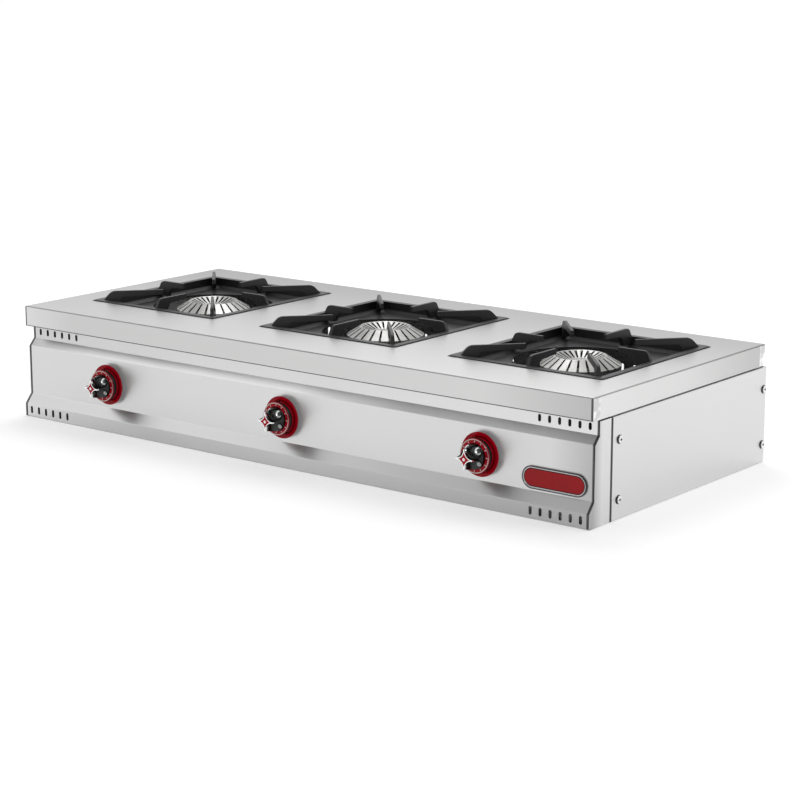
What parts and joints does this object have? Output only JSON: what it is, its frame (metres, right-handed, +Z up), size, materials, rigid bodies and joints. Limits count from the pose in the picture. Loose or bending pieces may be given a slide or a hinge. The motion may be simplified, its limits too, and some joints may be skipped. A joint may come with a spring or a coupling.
{
  "type": "counter-top wok range",
  "caption": "Low counter-top gas wok range: brushed steel body, open crown burners in black drip bowls under cast pan supports, with front control knobs.",
  "frame": {"origin": "the middle of the top plate's width and depth, on the surface the range stands on", "axes": "+X to the user's right, +Y to the back of the range, +Z up"},
  "size_m": [1.2068, 0.5698, 0.2153],
  "materials": {
    "steel_top": "brushed stainless sheet",
    "steel_body": "brushed stainless sheet",
    "enamel_black": "satin black enamel",
    "cast_black": "satin black cast iron",
    "cap_bright": "bright machined casting",
    "cast_burner": "rough cast iron",
    "zinc_steel": "plain galvanised steel",
    "brass": "turned brass",
    "red_gloss": "gloss red",
    "chrome_grip": "plated",
    "badge_red": "gloss red enamel, plain"
  },
  "bodies": {
    "housing": {"back_panel": "steel_body", "back_screws": "zinc_steel", "badge_plate": "badge_red", "burner_body_left": "cast_burner", "burner_body_middle": "cast_burner", "burner_body_right": "cast_burner", "drip_bowl_left": "enamel_black", "drip_bowl_middle": "enamel_black", "drip_bowl_right": "enamel_black", "fascia_cheek_left": "steel_body", "fascia_cheek_right": "steel_body", "feed_pipe_left": "zinc_steel", "feed_pipe_middle": "zinc_steel", "feed_pipe_right": "zinc_steel", "floor_pan": "zinc_steel", "front_burner_rail": "zinc_steel", "front_fascia": "steel_body", "gas_manifold": "zinc_steel", "gas_valve_left": "brass", "gas_valve_middle": "brass", "gas_valve_right": "brass", "injector_left": "brass", "injector_middle": "brass", "injector_right": "brass", "knob_bezel_left": "red_gloss", "knob_bezel_middle": "red_gloss", "knob_bezel_right": "red_gloss", "manifold_brackets": "zinc_steel", "rear_burner_rail": "zinc_steel", "side_panel_left": "steel_body", "side_panel_right": "steel_body", "side_screws": "zinc_steel", "top_plate": "steel_top"},
    "support_left": {"pan_support_left": "cast_black"},
    "cap_left": {"burner_cap_left": "cap_bright"},
    "plug_left": {"valve_plug_left": "brass"},
    "knob_left": {"knob_skirt_left": "red_gloss", "knob_grip_left": "chrome_grip", "valve_spindle_left": "zinc_steel"},
    "support_middle": {"pan_support_middle": "cast_black"},
    "cap_middle": {"burner_cap_middle": "cap_bright"},
    "plug_middle": {"valve_plug_middle": "brass"},
    "knob_middle": {"knob_skirt_middle": "red_gloss", "knob_grip_middle": "chrome_grip", "valve_spindle_middle": "zinc_steel"},
    "support_right": {"pan_support_right": "cast_black"},
    "cap_right": {"burner_cap_right": "cap_bright"},
    "plug_right": {"valve_plug_right": "brass"},
    "knob_right": {"knob_skirt_right": "red_gloss", "knob_grip_right": "chrome_grip", "valve_spindle_right": "zinc_steel"}
  },
  "joints": [
    {"name": "pan_support_lift_left", "type": "slide", "parent": "housing", "child": "support_left", "axis": [0, 0, 1], "range_m": [0, 0.06]},
    {"name": "burner_cap_lift_left", "type": "slide", "parent": "housing", "child": "cap_left", "axis": [0, 0, 1], "range_m": [0, 0.05]},
    {"name": "knob_turn_left", "type": "hinge", "parent": "housing", "child": "plug_left", "pos_m": [-0.397, -0.2453, 0.0835], "axis": [0, -1, 0], "range_deg": [0, 180]},
    {"name": "knob_push_left", "type": "slide", "parent": "plug_left", "child": "knob_left", "axis": [0, 1, 0], "range_m": [0, 0.004], "stiffness_N_per_m": 1500},
    {"name": "pan_support_lift_middle", "type": "slide", "parent": "housing", "child": "support_middle", "axis": [0, 0, 1], "range_m": [0, 0.06]},
    {"name": "burner_cap_lift_middle", "type": "slide", "parent": "housing", "child": "cap_middle", "axis": [0, 0, 1], "range_m": [0, 0.05]},
    {"name": "knob_turn_middle", "type": "hinge", "parent": "housing", "child": "plug_middle", "pos_m": [0, -0.2453, 0.0835], "axis": [0, -1, 0], "range_deg": [0, 180]},
    {"name": "knob_push_middle", "type": "slide", "parent": "plug_middle", "child": "knob_middle", "axis": [0, 1, 0], "range_m": [0, 0.004], "stiffness_N_per_m": 1500},
    {"name": "pan_support_lift_right", "type": "slide", "parent": "housing", "child": "support_right", "axis": [0, 0, 1], "range_m": [0, 0.06]},
    {"name": "burner_cap_lift_right", "type": "slide", "parent": "housing", "child": "cap_right", "axis": [0, 0, 1], "range_m": [0, 0.05]},
    {"name": "knob_turn_right", "type": "hinge", "parent": "housing", "child": "plug_right", "pos_m": [0.397, -0.2453, 0.0835], "axis": [0, -1, 0], "range_deg": [0, 180]},
    {"name": "knob_push_right", "type": "slide", "parent": "plug_right", "child": "knob_right", "axis": [0, 1, 0], "range_m": [0, 0.004], "stiffness_N_per_m": 1500}
  ]
}
